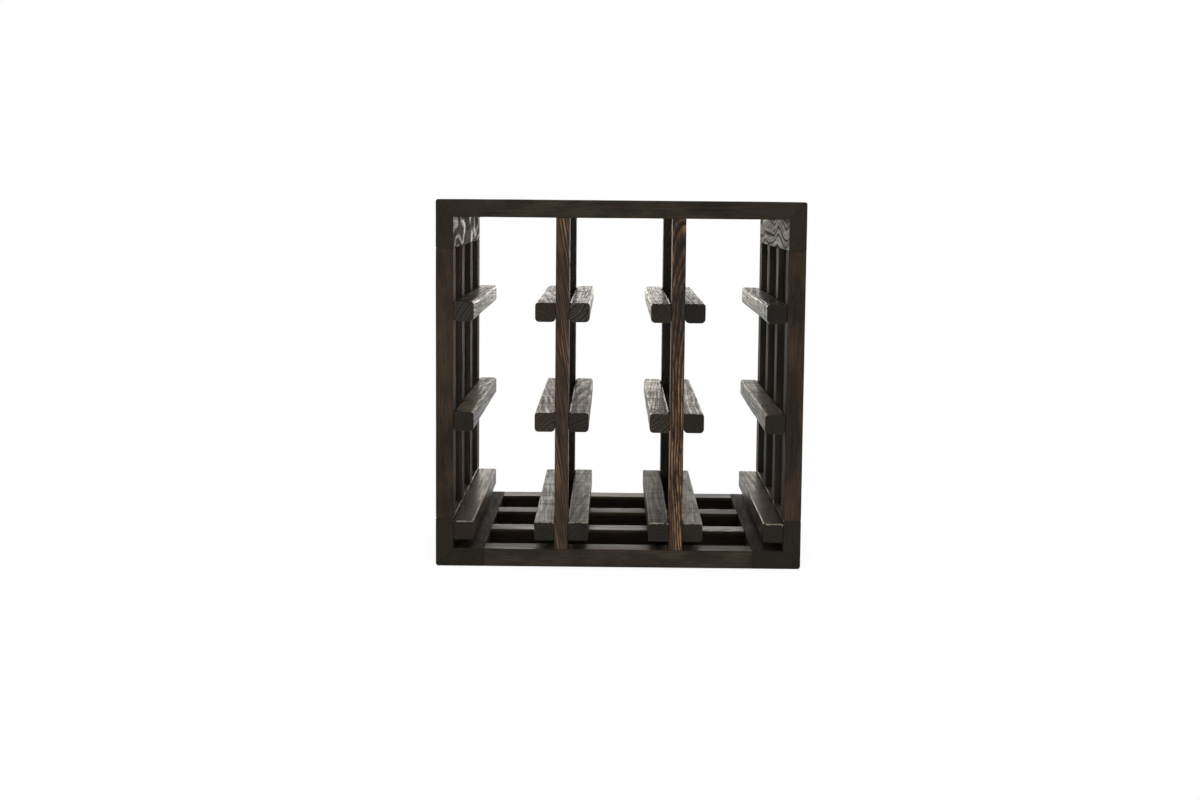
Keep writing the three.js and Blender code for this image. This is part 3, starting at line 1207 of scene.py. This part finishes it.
@dataclass
class Viewpoint:
    """The camera, where the photographer's stood.

    Attributes:
        place: Its place.
        lens: Its focal length in millimetres.
        sensor: The width of its sensor in millimetres.
        yaw: How far it looks to the left, in degrees.
        pitch: How far it looks down, in degrees.
        roll: How far it is turned about its line of sight, in degrees.
    """

    place: Triple = (-0.0082, -2.1004, 0.3815)
    lens: float = 55.79
    sensor: float = 36.0
    yaw: float = 0.358
    pitch: float = 6.171
    roll: float = 0.520

    # A camera that isn't turned looks straight down.
    LEVEL_TILT = 90.0

    def build(self) -> None:
        """Makes the camera and looks through it."""
        data = bpy.data.cameras.new("camera")
        data.lens, data.sensor_width = self.lens, self.sensor
        camera = put_in_scene("camera", data)
        turned = Matrix.Translation(self.place)
        for angle, axis in ((self.yaw, "Z"), (self.LEVEL_TILT - self.pitch, "X"), (self.roll, "Z")):
            turned = turned @ Matrix.Rotation(math.radians(angle), 4, axis)
        camera.matrix_world = turned
        bpy.context.scene.camera = camera


@dataclass(frozen=True)
class Lamp:
    """A soft lamp turned to the rack's middle, with its power in watts."""

    name: str
    place: Triple
    width: float
    height: float
    power: float
    gloss: Gloss = Gloss.HIDDEN
    colour: Triple = (1.0, 1.0, 1.0)

    def build(self, target: Triple) -> None:
        """Makes the lamp.

        Args:
            target: What it is turned to.
        """
        data = bpy.data.lights.new(self.name, "AREA")
        data.shape = "RECTANGLE"
        data.size, data.size_y = self.width, self.height
        data.energy, data.color = self.power, self.colour
        lamp = put_in_scene(self.name, data)
        lamp.location = self.place
        lamp.rotation_euler = (Vector(target) - Vector(self.place)).to_track_quat("-Z", "Y").to_euler()
        lamp.visible_camera = False
        lamp.visible_glossy = self.gloss.value


@dataclass
class Studio:
    """A white floor with a painted shadow of the rack, an even white surround and soft lamps.

    Attributes:
        floor_size: The side of the floor.
        floor_drop: The gap between the floor and the rack's underside.
        floor_colour: How light the floor is to the light that falls on it.
        ambient: The surround's light on the rack.
        shadow_reach: How far the floor's painted shadow of the rack reaches.
        deepest_shadow: How light the floor's painted shadow is where the rack shuts off the sky.
        target: What the lamps are turned to.
        lamps: The lamps.
    """

    floor_size: float = 14.0
    floor_drop: float = 0.5 * MM
    floor_colour: float = 0.8
    ambient: float = 0.18
    shadow_reach: float = 0.45
    deepest_shadow: float = 0.01
    target: Triple = (0.0, 0.0, 0.19)
    lamps: tuple[Lamp, ...] = (
        Lamp("front", (0.0, -7.0, 0.2), 0.45, 0.3, 270.0),
        Lamp("back", (0.3, 4.5, 0.4), 0.7, 0.5, 90.0),
        Lamp("above", (0.0, 0.0, 2.6), 1.4, 1.4, 32.0),
        Lamp("left", (-4.5, 0.4, 0.8), 0.7, 0.5, 70.0),
        Lamp("right", (4.5, 0.4, 0.8), 0.7, 0.5, 70.0),
        Lamp("sheen", (0.0, 3.0, 0.30), 2.0, 0.32, 5.0, Gloss.SHOWS, (1.0, 0.89, 0.72)),
    )

    # How open the sky over the floor is where its painted shadow is deepest, and where there is none.
    SHUT_SKY = 0.1
    OPEN_SKY = 0.58
    SHADOW_SAMPLES = 48

    @staticmethod
    def _seen(sketch: NodeSketch) -> Socket:
        """Whether a ray shows the background: to the camera, in a gloss or through glass.

        Args:
            sketch: The tree to write it in.

        Returns:
            1 for such a ray, and 0 for one that carries light.
        """
        path = sketch.node("ShaderNodeLightPath").outputs
        seen = sketch.math("MAXIMUM", path["Is Camera Ray"], path["Is Glossy Ray"])
        return sketch.math("MAXIMUM", seen, path["Is Transmission Ray"])

    def _surround(self) -> None:
        """Makes the even white surround."""
        world = bpy.data.worlds.new("surround")
        bpy.context.scene.world = world
        sketch = fresh_nodes(world)
        lit = sketch.total(self.ambient, sketch.product(self._seen(sketch), 1.0 - self.ambient))
        white = {"Color": (1.0, 1.0, 1.0, 1.0), "Strength": lit}
        sketch.surface("ShaderNodeBackground", white, "ShaderNodeOutputWorld")

    def _floor(self) -> None:
        """Makes the white floor, which shows camera, gloss and glass rays a painted shadow of the rack: an
        emission darkened by ambient occlusion.
        """
        reach = self.floor_size / 2
        mesh = bpy.data.meshes.new("floor")
        corners = [(-reach, -reach), (reach, -reach), (reach, reach), (-reach, reach)]
        mesh.from_pydata([(x, y, -self.floor_drop) for x, y in corners], [], [(0, 1, 2, 3)])
        floor = put_in_scene("floor", mesh)
        material = bpy.data.materials.new("white_floor")
        mesh.materials.append(material)
        sketch = fresh_nodes(material)
        # Painted shadow: the floor's emission grows darker where ambient occlusion finds the rack close, and
        # lamps play no part in it.
        sky = sketch.node("ShaderNodeAmbientOcclusion", samples=self.SHADOW_SAMPLES)
        sketch.feed(sky, {"Distance": self.shadow_reach})
        painted_shade = sketch.ease(sky.outputs["AO"], self.SHUT_SKY, self.OPEN_SKY, self.deepest_shadow, 1.0)
        shown = sketch.node("ShaderNodeEmission", sketch.combine(painted_shade, painted_shade, painted_shade))
        lit = sketch.node("ShaderNodeBsdfDiffuse", (self.floor_colour,) * 3 + (1.0,))
        both = {0: self._seen(sketch), 1: lit.outputs[0], 2: shown.outputs[0]}
        sketch.surface("ShaderNodeMixShader", both)

    def build(self) -> None:
        """Makes the floor, the surround and the lamps."""
        bpy.context.scene.view_settings.view_transform = "Standard"
        self._surround()
        self._floor()
        for lamp in self.lamps:
            lamp.build(self.target)


def main() -> None:
    """Builds the rack, its camera and its studio."""
    logging.basicConfig(level=logging.INFO, format="%(message)s")
    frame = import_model()
    Viewpoint().build()
    Rack().build(frame["nodes"])
    Studio().build()


if __name__ == "__main__":
    main()
